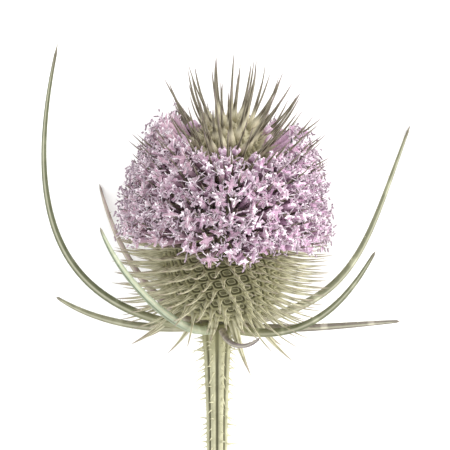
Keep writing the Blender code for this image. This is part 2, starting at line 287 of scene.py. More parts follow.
def tissue(name, look):
    # one plant finish: mottled colour, shades that follow marks on the mesh, and fine fibres
    material = bpy.data.materials.new(name)
    material.use_nodes = True
    tree = material.node_tree
    link = tree.links.new
    shader = tree.nodes["Principled BSDF"]
    shader.inputs["IOR"].default_value = surface["ior"]
    shader.inputs["Sheen Weight"].default_value = look.get("sheen", 0.0)
    shader.inputs["Sheen Roughness"].default_value = surface["sheenRoughness"]
    base = put(tree, "ShaderNodeGroup", {
        "Light": tone(look["light"]), "Dark": tone(look["dark"]), "Scale": look["patchScale"],
    }, node_tree=mottle)
    colour = base.outputs["Color"]
    marks = {}
    for mark, farColour, low, high, strength in look["shades"]:
        if mark not in marks:
            marks[mark] = put(tree, "ShaderNodeAttribute", attribute_name=mark).outputs["Fac"]
        shade = put(tree, "ShaderNodeGroup", {
            "Far Color": tone(farColour), "From": low, "To": high, "Strength": strength,
        }, node_tree=byMark)
        link(marks[mark], shade.inputs["Mark"])
        link(colour, shade.inputs["Color"])
        colour = shade.outputs["Color"]
    link(colour, shader.inputs["Base Color"])
    lines = put(tree, "ShaderNodeGroup", {
        "Count": look["fibreCount"], "Length": look["fibreLength"],
    }, node_tree=fibres)
    for mark, socket in (("across", "Across"), ("along", "Along")):
        source = put(tree, "ShaderNodeAttribute", attribute_name=mark)
        link(source.outputs["Fac"], lines.inputs[socket])
    rough = put(tree, "ShaderNodeMapRange", {
        "To Min": look["roughness"] - surface["roughnessSpread"],
        "To Max": look["roughness"] + surface["roughnessSpread"],
    })
    link(lines.outputs["Mask"], rough.inputs["Value"])
    link(rough.outputs["Result"], shader.inputs["Roughness"])
    bump = put(tree, "ShaderNodeBump", {
        "Strength": look["bump"], "Distance": surface["fibreHeight"],
    })
    link(lines.outputs["Mask"], bump.inputs["Height"])
    link(bump.outputs["Normal"], shader.inputs["Normal"])
    return material


# Shared modelling steps

def meshOf(bm, name):
    mesh = bpy.data.meshes.new(name)
    bm.to_mesh(mesh)
    bm.free()
    return mesh


def setMark(mesh, mark, values):
    layer = mesh.attributes.new(mark, "FLOAT", "POINT")
    layer.data.foreach_set("value", values.astype(np.float32))


def addObject(name, data):
    item = bpy.data.objects.new(name, data)
    bpy.context.scene.collection.objects.link(item)
    return item


def unitTube(name, sides, rows, pointed=True):
    # a closed tube round +Z from z = 0 to z = 1, drawn to a point or left blunt, and the angle
    # and the share of the length at each of its points
    bm = bmesh.new()
    bmesh.ops.create_circle(bm, cap_ends=True, segments=sides, radius=1.0)
    cap = bm.faces[:]
    for _ in range(rows):
        grown = bmesh.ops.extrude_face_region(bm, geom=cap)["geom"]
        cap = [item for item in grown if isinstance(item, bmesh.types.BMFace)]
        bmesh.ops.translate(bm, verts=cap[0].verts, vec=(0, 0, 1 / rows))
    if pointed:
        bmesh.ops.pointmerge(bm, verts=cap[0].verts, merge_co=(0, 0, 1))
    bmesh.ops.recalc_face_normals(bm, faces=bm.faces)
    mesh = meshOf(bm, name)
    points = np.array([tuple(v.co) for v in mesh.vertices])
    return mesh, (np.arctan2(points[:, 1], points[:, 0]), points[:, 2])


def columns(rows):
    return np.array(rows, float).T


def crossways(direction):
    # two unit vectors across a direction, the second one towards the crown
    across = upright.cross(direction).normalized()
    return np.array(across), np.array(direction.cross(across))


def sweep(root, *shifts):
    # points that stand off a root by some lengths along one direction after another
    points = np.array(root)
    for lengths, direction in shifts:
        points = points + np.outer(lengths, direction)
    return points


def makePiece(mesh, material, nodes):
    piece = addObject(mesh.name, mesh)
    mesh.materials.append(material)
    mesh.shade_smooth()
    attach(piece, "root")
    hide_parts(*nodes)
    print(mesh.name, len(mesh.polygons), "faces")
    return piece


def stampCopies(name, template, copies, place):
    # joins reshaped copies of a template. A copy is its points in the template's order, and a
    # dictionary of marks with a value at each point
    turn, shift = np.array(place.to_3x3()), np.array(place.translation)
    bm = bmesh.new()
    marks = {}
    for points, values in copies:
        placed = points @ turn.T + shift
        template.vertices.foreach_set("co", placed.astype(np.float32).ravel())
        bm.from_mesh(template)
        for mark, level in values.items():
            marks.setdefault(mark, []).append(np.broadcast_to(level, len(points)))
    mesh = meshOf(bm, name)
    for mark, parts in marks.items():
        setMark(mesh, mark, np.concatenate(parts))
    return mesh


# Stem: eight broad ridges with furrows between them, painted dark as shade, and a pithy cut end

stem = {
    "profile": ((-38.0, 2.45), (-20.0, 2.5), (-7.0, 2.95), (-2.0, 3.35), (1.2, 3.5)),
    "ridges": 8,
    "ridgeHeight": 0.5,
    "ridgeBreadth": 2.0,
    "sides": 96,
    "rows": 40,
    # thickness and depth in mm of each inset into the cut end, from its rind to its pith
    "cutInsets": ((0.35, 0.0), (0.25, -0.5), (1.0, -0.15)),
    "look": {
        "light": "bab89a", "dark": "98967a", "patchScale": 260.0, "roughness": 0.62,
        "fibreCount": 60.0, "fibreLength": 14.0, "bump": 0.35,
        "shades": [
            # painted shade: the furrows go dark
            ("furrow", "47452d", 0.25, 0.9, 0.92),
            ("along", "b3b083", 0.75, 1.0, 0.45),
            ("pith", "e9e4cf", 0.2, 0.8, 1.0),
        ],
    },
}


def furrowMark(angle):
    # 0 on a ridge and 1 in the furrows, one of which faces the front. It shapes the stem and sets
    # the painted shade in the furrows
    wave = 0.5 + 0.5 * np.cos(stem["ridges"] * (angle - front))
    return wave ** stem["ridgeBreadth"]


def stemRadius(height, angle):
    return (lookUp(stem["profile"], height) - stem["ridgeHeight"] * furrowMark(angle)) * mm


def makeStem():
    template, (angle, share) = unitTube("stemTube", stem["sides"], stem["rows"], pointed=False)
    low, high = stem["profile"][0][0] * mm, stem["profile"][-1][0] * mm
    height = low + (high - low) * share
    radius = stemRadius(height, angle)
    points = np.stack([radius * np.cos(angle), radius * np.sin(angle), height], axis=1)
    marks = {"furrow": furrowMark(angle), "along": share, "across": angle / math.pi, "pith": 0.0}
    mesh = stampCopies("ridged_stem", template, [(points, marks)], laidDown)
    bm = bmesh.new()
    bm.from_mesh(mesh)
    pith = bm.verts.layers.float["pith"]
    cut = min(bm.faces, key=lambda face: face.calc_center_median().y)
    for thickness, depth in stem["cutInsets"]:
        bmesh.ops.inset_region(bm, faces=[cut], thickness=thickness * mm, depth=depth * mm)
        for vert in cut.verts:
            vert[pith] = 1.0
    bmesh.ops.triangulate(bm, faces=[cut])
    bm.to_mesh(mesh)
    bm.free()
    makePiece(mesh, tissue("stem_finish", stem["look"]), ["stem"])


# Prickles on the stem's ridges and along the bracts' keels

prickle = {
    "seed": 3,
    "count": 170,
    "zone": (-37.0 * mm, -1.6 * mm),
    # they crowd towards the head, and each stands so many ridges on from the last
    "crowding": 1.5,
    "ridgeStep": 3,
    "offRidge": 0.14,
    "length": (1.3, 5.4),
    "lengthShare": (0.5, 1.0),
    "radius": 0.28,
    "radiusShare": (0.6, 1.1),
    "taper": 1.4,
    "lean": (-38.0, 22.0),
    "droop": 0.18,
    "sides": 6,
    "rows": 4,
    "look": {
        "light": "cfccae", "dark": "b5b190", "patchScale": 500.0, "roughness": 0.5,
        "fibreCount": 4.0, "fibreLength": 3.0, "bump": 0.1,
        "shades": [("along", "9a927c", 0.4, 1.0, 0.6)],
    },
}


def prickleCopy(corners, root, outward, length, radius):
    angle, share = corners
    across, up = crossways(outward)
    width = radius * (1 - share) ** prickle["taper"]
    points = sweep(
        root, (length * share, outward), (-length * prickle["droop"] * share ** 2, up),
        (width * np.cos(angle), across), (width * np.sin(angle), up),
    )
    return points, {"along": share, "across": angle / math.pi}


def makeStemPrickles():
    draw = random.Random(prickle["seed"])
    template, corners = unitTube("prickleTube", prickle["sides"], prickle["rows"])
    copies = []
    low, high = prickle["zone"]
    for n in range(prickle["count"]):
        share = 1 - ((n + draw.random()) / prickle["count"]) ** prickle["crowding"]
        height = low + (high - low) * share
        ridge = (n * prickle["ridgeStep"]) % stem["ridges"] + 0.5
        angle = 2 * math.pi * ridge / stem["ridges"] + front
        angle += draw.uniform(-prickle["offRidge"], prickle["offRidge"])
        lean = math.radians(draw.uniform(*prickle["lean"]))
        outward = around(math.cos(lean), angle, math.sin(lean))
        radius = prickle["radius"] * mm * draw.uniform(*prickle["radiusShare"])
        root = around(stemRadius(height, angle) - radius, angle, height)
        length = draw.uniform(*prickle["length"]) * mm * draw.uniform(*prickle["lengthShare"])
        copies.append(prickleCopy(corners, root, outward, length + radius, radius))
    mesh = stampCopies("stem_prickles", template, copies, laidDown)
    finish = tissue("prickle_finish", prickle["look"])
    makePiece(mesh, finish, ["stem"])
    return finish


# Bracts: long blades with a keel below and a channel above

bract = {
    # in mm, then how the width falls off to the tip
    "width": 2.3,
    "thickness": 1.95,
    "taper": 0.47,
    "waist": 0.15,
    # shares of the thickness: what the tip keeps, and what is below the edges
    "leastThickness": 0.2,
    "keelBelow": 0.6,
    # how high the upper side stands from its edge, 0, to its middle, 1, where the channel runs
    "upperForm": ((0.0, 0.0), (0.38, 0.7), (0.71, 1.0), (0.92, 0.6), (1.0, 0.3)),
    "slim": {"bract_front_right": 0.65},
    # how narrow the marks are, and how far up the foot's goes
    "channelPower": 6,
    "rimPower": 8,
    "keelPower": 4,
    "footShare": 0.35,
    "step": 0.005,
    "sides": 16,
    "rows": 52,
    "look": {
        "light": "7d8067", "dark": "64684c", "patchScale": 420.0, "roughness": 0.5,
        "fibreCount": 9.0, "fibreLength": 5.0, "bump": 0.4,
        "shades": [
            # painted shade: the channel down the upper side goes dark
            ("channel", "4b5036", 0.2, 0.9, 0.85),
            ("rim", "b7b69f", 0.55, 1.0, 0.8),
            ("keel", "97997c", 0.4, 1.0, 0.5),
            ("foot", "aaa886", 0.0, 1.0, 0.75),
            ("along", "5b4d44", 0.93, 1.0, 0.7),
        ],
    },
    # light, dark and foot colours of the bracts that differ from the green ones
    "tints": {
        "bract_left_long": ("6e7257", "555940", "a3a17f"),
        "bract_front_left": ("aab39c", "8b957d", "b4ba9d"),
        "bract_back_left": ("b09f99", "91817b", "b0a692"),
        "bract_right_long": ("8a8b70", "6d7058", "b9b19c"),
        "bract_front_right": ("94878a", "76696c", "aaa08e"),
        "bract_left_low": ("8e8d72", "727258", "b3ad95"),
        "bract_right_low": ("8b8379", "706a60", "a9a18f"),
    },
}


# the short prickles under a bract: from where and over how much of its length they stand
thorn = {
    "seed": 5,
    "count": 9,
    "from": 0.12,
    "over": 0.75,
    "step": 0.01,
    "sideways": 0.9,
    "forwards": 0.6,
    "length": (0.9, 2.0),
    "shorterBy": 0.5,
    "out": 0.3,
    "radius": 0.17,
    "sides": 6,
    "rows": 3,
}


def bractTurn(shape, share, step):
    # the directions along a bract, down from it and across it
    here, ahead = bractPoint(shape, share), bractPoint(shape, share + step)
    along = (ahead - here).normalized()
    below = along.cross(Vector((-here.y, here.x, 0))).normalized()
    return along, below, along.cross(below)


def bractCopy(shape, slim, corners, rows):
    angle, share = corners
    line = []
    for row in range(rows + 1):
        _, below, across = bractTurn(shape, min(row / rows, 1 - bract["step"]), bract["step"])
        line.append([*bractPoint(shape, row / rows), *across, *below])
    line = np.array(line)[np.round(share * rows).astype(int)]
    here, across, below = line[:, :3], line[:, 3:6], line[:, 6:]
    taper = (1 - share) ** bract["taper"]
    waist = 1 - bract["waist"] * (1 - np.cos(np.pi * share))
    half = bract["width"] / 2 * taper * waist * slim
    least = bract["leastThickness"]
    thick = bract["thickness"] * (least + (1 - least) * taper) * (share < 1) * slim
    rise = np.sin(angle)
    above = (1 - bract["keelBelow"]) * np.interp(rise, *columns(bract["upperForm"]))
    level = np.where(rise > 0, above, bract["keelBelow"] * rise)
    points = (
        here
        + across * (half * np.cos(angle) * mm)[:, None]
        - below * (thick * level * mm)[:, None]
    )
    points[:, 1] = np.minimum(points[:, 1], plant["axisHeight"])
    # the channel mark paints shade in the groove on the upper side
    marks = {
        "along": share,
        "across": np.cos(angle),
        "channel": np.where(rise > 0, rise ** bract["channelPower"], 0.0),
        "rim": np.cos(angle) ** bract["rimPower"],
        "keel": np.where(rise < 0, rise ** bract["keelPower"], 0.0),
        "foot": np.clip(1 - share / bract["footShare"], 0, 1),
    }
    return points, marks


def makeBracts(prickleFinish):
    template, corners = unitTube("bractTube", bract["sides"], bract["rows"])
    thornTemplate, thornCorners = unitTube("thornTube", thorn["sides"], thorn["rows"])
    draw = random.Random(thorn["seed"])
    for name, shape in bractShapes.items():
        look = dict(bract["look"])
        if name in bract["tints"]:
            look["light"], look["dark"], foot = bract["tints"][name]
            look["shades"] = [
                (mark, foot if mark == "foot" else far, *rest) for mark, far, *rest in look["shades"]
            ]
        title = name.replace("bract", "blade")
        slim = bract["slim"].get(name, 1.0)
        blade = bractCopy(shape, slim, corners, bract["rows"])
        mesh = stampCopies(title, template, [blade], laidDown)
        makePiece(mesh, tissue(title + "_finish", look), [name])
        copies = []
        for n in range(thorn["count"]):
            share = thorn["from"] + thorn["over"] * (n + draw.random()) / thorn["count"]
            along, below, across = bractTurn(shape, share, thorn["step"])
            root = bractPoint(shape, share) + below * thorn["out"] * mm
            sideways = across * draw.uniform(-thorn["sideways"], thorn["sideways"])
            outward = (below + sideways + along * thorn["forwards"]).normalized()
            length = draw.uniform(*thorn["length"]) * mm * (1 - thorn["shorterBy"] * share)
            copies.append(prickleCopy(thornCorners, root, outward, length, thorn["radius"] * mm))
        for points, _ in copies:
            points[:, 1] = np.minimum(points[:, 1], plant["axisHeight"])
        mesh = stampCopies(title + "_prickles", thornTemplate, copies, laidDown)
        makePiece(mesh, prickleFinish, [name])


# Receptacle: a raised net of cells, each with the cup of a spent or coming floret in its pit

net = {
    # cells this far inside the ring of florets can't be seen
    "hiddenMargin": 2.5 * mm,
    # thickness and depth of each inset in mm, then how deep the mark says that it lies, which sets
    # how much shade is painted there
    "insets": (
        (0.06, 0.0, 0.0), (0.09, -0.9, 0.85), (0.3, -0.2, 1.0), (0.08, 0.55, 0.4),
        (0.1, 0.05, 0.25), (0.1, -0.45, 0.9),
    ),
    "sag": 0.97,
    # where the crown's tint starts and the neck's ends, and how far they take to come in
    "crownFrom": 36 * mm,
    "crownOver": 8 * mm,
    "neckTo": 6 * mm,
    "neckOver": 4 * mm,
    "alongScale": 20,
    "look": {
        "light": "c6c3a0", "dark": "adaa84", "patchScale": 300.0, "roughness": 0.6,
        "fibreCount": 6.0, "fibreLength": 6.0, "bump": 0.2,
        "shades": [
            # painted shade: the pits and the cups' middles go dark by how deep the mark says they
            # lie
            ("depth", "4a472c", 0.05, 0.9, 0.88),
            ("crown", "c2baa0", 0.0, 1.0, 0.8),
            ("neck", "bcb88e", 0.0, 1.0, 0.6),
        ],
    },
}


def makeNet():
    count = len(sites) - head["openApexSites"]
    bottom, top = head["profile"][0][0] * mm, head["profile"][-1][0] * mm
    bm = bmesh.new()
    pitShadeMark = bm.verts.layers.float.new("depth")
    verts = []
    for azimuth, height in sites[:count]:
        radius = lookUp(head["profile"], height) * mm
        verts.append(bm.verts.new(around(radius, azimuth, height)))
    crossings = set(verts)
    cells = []
    flat, steep = 2 * head["flatPairs"], 2 * head["steepPairs"]
    for n in range(count - flat - steep):
        corners = (n, n + flat, (n + flat + steep) ^ 1, (n + steep) ^ 1)
        face = bm.faces.new([verts[i] for i in corners])
        if not inBand(*sites[corners[3]], net["hiddenMargin"]):
            cells.append(face)
    # the ridges sag a little between the crossings
    halves = bmesh.ops.bisect_edges(bm, edges=bm.edges, cuts=1)["geom_split"]
    for item in halves:
        if isinstance(item, bmesh.types.BMVert) and item not in crossings:
            item.co *= Vector((net["sag"], net["sag"], 1.0))
    for level in (bottom, top):
        rim = [
            edge for edge in bm.edges
            if edge.is_boundary and (edge.verts[0].co.z > (bottom + top) / 2) == (level == top)
        ]
        fan = bmesh.ops.extrude_edge_only(bm, edges=rim)["geom"]
        drawn = [item for item in fan if isinstance(item, bmesh.types.BMVert)]
        bmesh.ops.pointmerge(bm, verts=drawn, merge_co=(0, 0, level))
    bmesh.ops.recalc_face_normals(bm, faces=bm.faces)
    # each inset's ring gets the mark that paints shade in the pits
    for thickness, depth, mark in net["insets"]:
        bmesh.ops.inset_individual(
            bm, faces=cells, thickness=thickness * mm, depth=depth * mm, use_even_offset=True
        )
        for face in cells:
            for vert in face.verts:
                vert[pitShadeMark] = mark
    mesh = meshOf(bm, "cell_net")
    heights = np.array([v.co.z for v in mesh.vertices])
    crown = np.clip((heights - net["crownFrom"]) / net["crownOver"], 0, 1)
    neck = np.clip((net["neckTo"] - heights) / net["neckOver"], 0, 1)
    turns = np.array([math.atan2(v.co.y, v.co.x) for v in mesh.vertices])
    marks = {
        "crown": crown, "neck": neck, "along": heights * net["alongScale"], "across": turns,
    }
    for mark, values in marks.items():
        setMark(mesh, mark, values)
    mesh.transform(headFrame)
    piece = makePiece(mesh, tissue("net_finish", net["look"]), ["receptacle"])
    rounding = piece.modifiers.new("Rounding", "SUBSURF")
    rounding.levels = 1
    rounding.render_levels = 1


# Spines: one at each crossing of the net, broad and channelled at the foot

spine = {
    "seed": 31,
    # elevation above the horizontal in degrees and length in mm, by height up the head
    "lean": (
        (1.9, -62.0), (3.0, -48.0), (5.0, -27.0), (9.0, -10.0), (18.0, -2.0), (25.0, 10.0),
        (31.0, 25.0), (37.0, 36.0), (40.0, 43.0), (44.0, 58.0), (48.0, 80.0),
    ),
    "length": (
        (1.9, 13.5), (4.0, 12.4), (6.0, 11.0), (30.0, 11.2), (35.0, 13.6), (40.0, 15.0),
        (44.0, 14.8), (48.0, 14.0),
    ),
    "lengthShare": (0.93, 1.04),
    # how far each may turn from its neighbours' way, in degrees by height
    "sway": ((5.0, 4.0), (8.0, 1.8), (22.0, 1.8), (30.0, 5.0), (38.0, 9.0)),
    # in mm: how far the tip is bent up and the middle hangs, and how deep the root is sunk
    "lift": 0.7,
    "liftPower": 2.2,
    "sag": 0.4,
    "sink": 1.0,
    "neckHeight": 4.0 * mm,
    # they are thin among the florets below this height
    "slimBelow": 32.0 * mm,
    # and short where they would hang over the stem's front
    "clearHeight": 5.2 * mm,
    "clearFacing": 0.88,
    "clearLength": 0.4,
    # one site in so many has one at the neck, and one in so many a short one at the crown
    "neckSites": 3,
    "crownSites": 5,
    "crownSpare": 2,
    "scaleLength": (0.4, 0.7),
    "footShare": 0.3,
    "rows": 9,
    # directions in which the section is ridged, along the net's edges, and grooved
    "section": tuple(math.radians(turn) for turn in (14, 68, 122, 158, 194, 248, 302, 338)),
    # share of the length, then how far the ridges and the grooves stand out in mm
    "forms": {
        "neck": (
            (0.0, 1.25, 0.6), (0.12, 1.1, 0.55), (0.35, 0.82, 0.45), (0.6, 0.5, 0.3),
            (0.82, 0.27, 0.18), (1.0, 0.0, 0.0),
        ),
        "lower": (
            (0.0, 1.2, 0.22), (0.06, 0.7, 0.2), (0.14, 0.36, 0.17), (0.35, 0.26, 0.15),
            (0.6, 0.21, 0.13), (0.82, 0.15, 0.11), (1.0, 0.0, 0.0),
        ),
        "band": (
            (0.0, 0.6, 0.3), (0.3, 0.36, 0.22), (0.6, 0.28, 0.18), (0.85, 0.17, 0.12),
            (1.0, 0.0, 0.0),
        ),
        "crown": (
            (0.0, 1.25, 0.5), (0.1, 0.8, 0.38), (0.22, 0.45, 0.25), (0.38, 0.3, 0.19),
            (0.6, 0.24, 0.16), (0.82, 0.17, 0.12), (1.0, 0.0, 0.0),
        ),
    },
    # room kept from the bracts' middle lines, and the bends in degrees that are tried
    "elbowRoom": 1.9 * mm,
    "bends": (0, 6, -6, 12, -12, 18, -18, 25, -25, 32, -32),
    "triedShares": (0.2, 0.4, 0.6, 0.8, 1.0),
    "bractSteps": 60,
    "lowerLook": {
        "light": "d1cdb0", "dark": "beba98", "patchScale": 350.0, "roughness": 0.52,
        "fibreCount": 3.0, "fibreLength": 8.0, "bump": 0.25,
        "shades": [
            # painted shade: the grooves of each spine go dark
            ("channel", "6b664b", 0.3, 1.0, 0.8),
            ("rim", "dedac2", 0.4, 1.0, 0.5),
            ("foot", "b2ae86", 0.0, 1.0, 0.35),
            ("along", "85746c", 0.55, 0.95, 0.75),
        ],
    },
    "upperLook": {
        "light": "aaa38b", "dark": "8f8970", "patchScale": 350.0, "roughness": 0.5,
        "fibreCount": 3.0, "fibreLength": 8.0, "bump": 0.25,
        "shades": [
            ("along", "665e4e", 0.1, 0.32, 0.9),
            ("rim", "aaa38c", 0.4, 1.0, 0.5),
            # painted shade: the grooves of each spine go dark
            ("channel", "332e22", 0.3, 1.0, 0.75),
            ("foot", "cdc6ab", 0.1, 0.8, 0.9),
            ("along", "7a6470", 0.7, 1.0, 0.6),
        ],
    },
}


def spineLine(n):
    # root, direction and length of the spine at a site
    azimuth, height = sites[n]
    draw = random.Random(n)
    sway = lookUp(spine["sway"], height)
    lean = math.radians(lookUp(spine["lean"], height) + draw.uniform(-sway, sway))
    turn = math.radians(draw.uniform(-sway, sway))
    length = lookUp(spine["length"], height) * mm * draw.uniform(*spine["lengthShare"])
    outward = around(math.cos(lean), azimuth + turn, math.sin(lean))
    return around(lookUp(head["profile"], height) * mm, azimuth, height), outward, length


def bendClear(root, outward, length, obstacles):
    # turns a spine sideways until it clears the bracts
    lean = Matrix.Rotation(plant["headLean"], 4, "Y")
    for degrees in spine["bends"]:
        turned = Matrix.Rotation(math.radians(degrees), 3, "Z") @ outward
        line = np.array([lean @ (root + turned * length * t) for t in spine["triedShares"]])
        apart = np.linalg.norm(line[:, None, :] - obstacles[None, :, :], axis=2).min()
        if apart > spine["elbowRoom"]:
            return turned
    return None


def spineCopy(corners, root, outward, length, form):
    angle, share = corners
    across, up = crossways(outward)
    shares, ridges, grooves = columns(form)
    sides = len(spine["section"])
    side = np.round(angle * sides / (2 * math.pi)).astype(int) % sides
    grooved = side % 2
    spread = np.interp(share, shares, ridges) * (1 - grooved)
    spread = (spread + np.interp(share, shares, grooves) * grooved) * mm
    turned = np.array(spine["section"])[side]
    reach = np.where(share == 0, -spine["sink"] * mm, length * share)
    lift = spine["lift"] * share ** spine["liftPower"]
    curve = (lift - spine["sag"] * np.sin(np.pi * share)) * mm
    points = sweep(
        root, (reach, outward), (curve + spread * np.sin(turned), up),
        (spread * np.cos(turned), across),
    )
    # the channel mark paints shade in the section's grooves
    marks = {
        "along": share, "across": np.cos(turned), "channel": grooved, "rim": 1 - grooved,
        "foot": np.clip(1 - share / spine["footShare"], 0, 1),
    }
    return points, marks


def makeSpines():
    template, corners = unitTube("spineTube", len(spine["section"]), spine["rows"])
    steps = spine["bractSteps"]
    obstacles = np.array([
        tuple(bractPoint(shape, i / steps))
        for shape in bractShapes.values() for i in range(steps + 1)
    ])
    draw = random.Random(spine["seed"])
    lower, upper = [], []
    for n, (azimuth, height) in enumerate(sites):
        facing = math.cos(azimuth - front)
        if height < spine["neckHeight"]:
            zone, group = "neck", lower
        elif height < bandLow(azimuth):
            zone, group = "lower", lower
        else:
            slim = inBand(azimuth, height, 0) and height < spine["slimBelow"]
            zone, group = ("band" if slim else "crown"), upper
        if zone == "neck" and n % spine["neckSites"]:
            continue
        root, outward, length = spineLine(n)
        if height < spine["clearHeight"] and facing > spine["clearFacing"]:
            length *= spine["clearLength"]
        if zone == "crown" and n % spine["crownSites"] == spine["crownSpare"]:
            length *= draw.uniform(*spine["scaleLength"])
        turned = bendClear(root, outward, length, obstacles)
        if turned is not None:
            group.append(spineCopy(corners, root, turned, length, spine["forms"][zone]))
    for name, copies in (("lower", lower), ("upper", upper)):
        mesh = stampCopies(name + "_spines", template, copies, headFrame)
        finish = tissue(name + "_spine_finish", spine[name + "Look"])
        makePiece(mesh, finish, ["receptacle"])


# Florets: a slim tube that opens in four small lobes, each curled and folded its own way

floret = {
    "seed": 17,
    # how far they keep from the ring's edges
    "edge": 0.4 * mm,
    "sway": 7.0,
    # share of the places that stay empty
    "skipped": 0.07,
    # how far the mouths stand from the head, in mm by height
    "reach": ((18.0, 9.4), (28.0, 9.7), (40.0, 9.9)),
    "reachRange": (0.74, 1.02),
    # the upper ones are still short on the front
    "shortFrom": 31.0 * mm,
    "shortOver": 6.0 * mm,
    "shortBy": 0.3,
    # tube: share of the reach and radius in mm, up the outside and then down the throat
    "outside": ((-0.06, 0.42), (0.92, 0.64)),
    "inside": ((0.9, 0.44), (0.82, 0.0)),
    # lobe: share of its length and shift across its sheet in mm, outside and then inside
    "lobe": ((0.5, 0.0), (1.0, 0.0), (0.9, 0.12), (0.4, 0.16)),
    # share of the lobe's length that each of its columns has, from its middle to the notch
    "columnLength": (1.0, 0.9, 0.05),
    # how far it is shifted sideways at the tip, in mm, and how pale it is there
    "columnSpread": (0.0, -0.02, 0.0),
    "columnPale": (0.55, 0.85, 0.5),
    "tipPower": 3,
    # length in mm, curl in radians and fold in mm
    "lobeLength": (0.8, 1.9),
    "curl": (-0.6, 3.5),
    "fold": (0.25, 0.7),
    "straightBelow": 0.01,
    "lobes": 4,
    "sides": 16,
    "crease": math.radians(60),
    "tubePale": 0.15,
    "tubePaleFrom": 0.2,
    # painted shade: the florets are painted greyer towards the left, as if in shade, over this width
    # from the right, give or take a random spread in tone
    "sideShadeWidth": 30 * mm,
    "tintSpread": 0.25,
    "look": {
        "light": "d9b6d1", "dark": "bb96b2", "patchScale": 220.0, "roughness": 0.6,
        "sheen": 0.15, "fibreCount": 5.0, "fibreLength": 6.0, "bump": 0.15,
        "shades": [
            # painted shade: the greyer colour that the florets on the left side take, as if in shade
            ("toneAndShade", "bda3a6", 0.0, 1.0, 0.6),
            ("petal", "fdf5fb", 0.65, 1.0, 0.9),
            ("throat", "b893ad", 0.0, 1.0, 0.6),
        ],
    },
}


def floretPlaces(draw):
    # azimuth and height of up to three florets to a cell: in its middle and on two of its edges
    flat, steep = 2 * head["flatPairs"], 2 * head["steepPairs"]
    places = []
    for n in range(len(sites) - flat - steep):
        crossings = [
            around(lookUp(head["profile"], height) * mm, azimuth, height)
            for azimuth, height in (
                sites[n], sites[n + flat], sites[(n + steep) ^ 1], sites[(n + flat + steep) ^ 1],
            )
        ]
        for far in crossings[1:]:
            middle = (crossings[0] + far) / 2
            place = (math.atan2(middle.y, middle.x), middle.z)
            if inBand(*place, floret["edge"]) and draw.random() > floret["skipped"]:
                places.append(place)
    return places


def floretLine(place, draw):
    # root, direction, reach and roll of the floret at a place
    azimuth, height = place
    sway = floret["sway"]
    lean = math.radians(lookUp(spine["lean"], height) + draw.uniform(-sway, sway))
    turn = math.radians(draw.uniform(-sway, sway))
    outward = around(math.cos(lean), azimuth + turn, math.sin(lean))
    root = around(lookUp(head["profile"], height) * mm, azimuth, height)
    late = min(max((height - floret["shortFrom"]) / floret["shortOver"], 0.0), 1.0)
    late *= floret["shortBy"] * max(0.0, math.cos(azimuth - front))
    reach = lookUp(floret["reach"], height) * mm * draw.uniform(*floret["reachRange"])
    return root, outward, reach * (1 - late), draw.uniform(0, math.pi / 2)


def floretCopy(corners, line, draw):
    angle, share = corners
    root, outward, reach, roll = line
    across, up = crossways(outward)
    outside, lobe, inside = (columns(floret[part]) for part in ("outside", "lobe", "inside"))
    lobeStart, insideStart = outside.shape[1], outside.shape[1] + lobe.shape[1]
    row = np.round(share * (insideStart + inside.shape[1] - 1)).astype(int)
    # the lobes grow from the tube's last outer ring, and the throat starts inside it
    rim = np.repeat(outside[:, -1:], lobe.shape[1], axis=1)
    shares, radii = np.concatenate([outside, rim, inside], axis=1)
    onLobe = (row >= lobeStart) & (row < insideStart)
    part = np.clip(row - lobeStart, 0, lobe.shape[1] - 1)
    # the lobe that each point belongs to, and its column, from 0 in the lobe's middle
    quarter = 2 * math.pi / floret["lobes"]
    nearest = np.round(angle / quarter)
    which = nearest.astype(int) % floret["lobes"]
    column = np.round((angle - nearest * quarter) * floret["sides"] / (2 * math.pi)).astype(int)
    each = {
        mark: np.array([draw.uniform(*floret[mark]) for _ in range(floret["lobes"])])[which]
        for mark in ("lobeLength", "curl", "fold")
    }
    away = np.abs(column)
    out, shift = lobe[:, part]
    columnShare = np.array(floret["columnLength"])[away]
    length = each["lobeLength"] * columnShare * out
    bend = each["curl"] * out * columnShare
    mild = np.where(np.abs(bend) < floret["straightBelow"], floret["straightBelow"], bend)
    sheet = shift + each["fold"] * (away == 1) * out
    outwards = length * (1 - np.cos(mild)) / mild - sheet * np.cos(bend)
    upwards = length * np.sin(mild) / mild + sheet * np.sin(bend)
    sideways = np.sign(column) * np.array(floret["columnSpread"])[away] * out
    middle = which * quarter + roll
    turned = angle + roll
    depth = reach * shares[row] + onLobe * upwards * mm
    push = onLobe * outwards * mm
    slide = onLobe * sideways * mm
    radius = radii[row] * mm
    points = sweep(
        root, (depth, outward),
        (radius * np.cos(turned) + push * np.cos(middle) - slide * np.sin(middle), across),
        (radius * np.sin(turned) + push * np.sin(middle) + slide * np.cos(middle), up),
    )
    pale = np.maximum(np.array(floret["columnPale"])[away] * out, out ** floret["tipPower"])
    tubePale = floret["tubePale"] * (share > floret["tubePaleFrom"])
    # the mark below paints shade on the florets towards the left, plus a random spread in tone
    toneAndShade = draw.uniform(-floret["tintSpread"], floret["tintSpread"])
    marks = {
        "petal": np.where(onLobe, pale, tubePale),
        "throat": np.where(row >= insideStart, 1.0, 0.0),
        "toneAndShade": float(np.clip(0.5 - root.x / floret["sideShadeWidth"] + toneAndShade, 0, 1)),
        "along": share, "across": angle,
    }
    return points, marks


def makeFlorets():
    rows = sum(len(floret[part]) for part in ("outside", "lobe", "inside")) - 1
    template, corners = unitTube("floretTube", floret["sides"], rows)
    draw = random.Random(floret["seed"])
    lines = [floretLine(place, draw) for place in floretPlaces(draw)]
    copies = [floretCopy(corners, line, draw) for line in lines]
    mesh = stampCopies("open_florets", template, copies, headFrame)
    mesh.set_sharp_from_angle(angle=floret["crease"])
    makePiece(mesh, tissue("petal_finish", floret["look"]), ["floret_band"])
    return lines


# Stamens: fine pale threads that stand out of the throats, most with an anther across the end

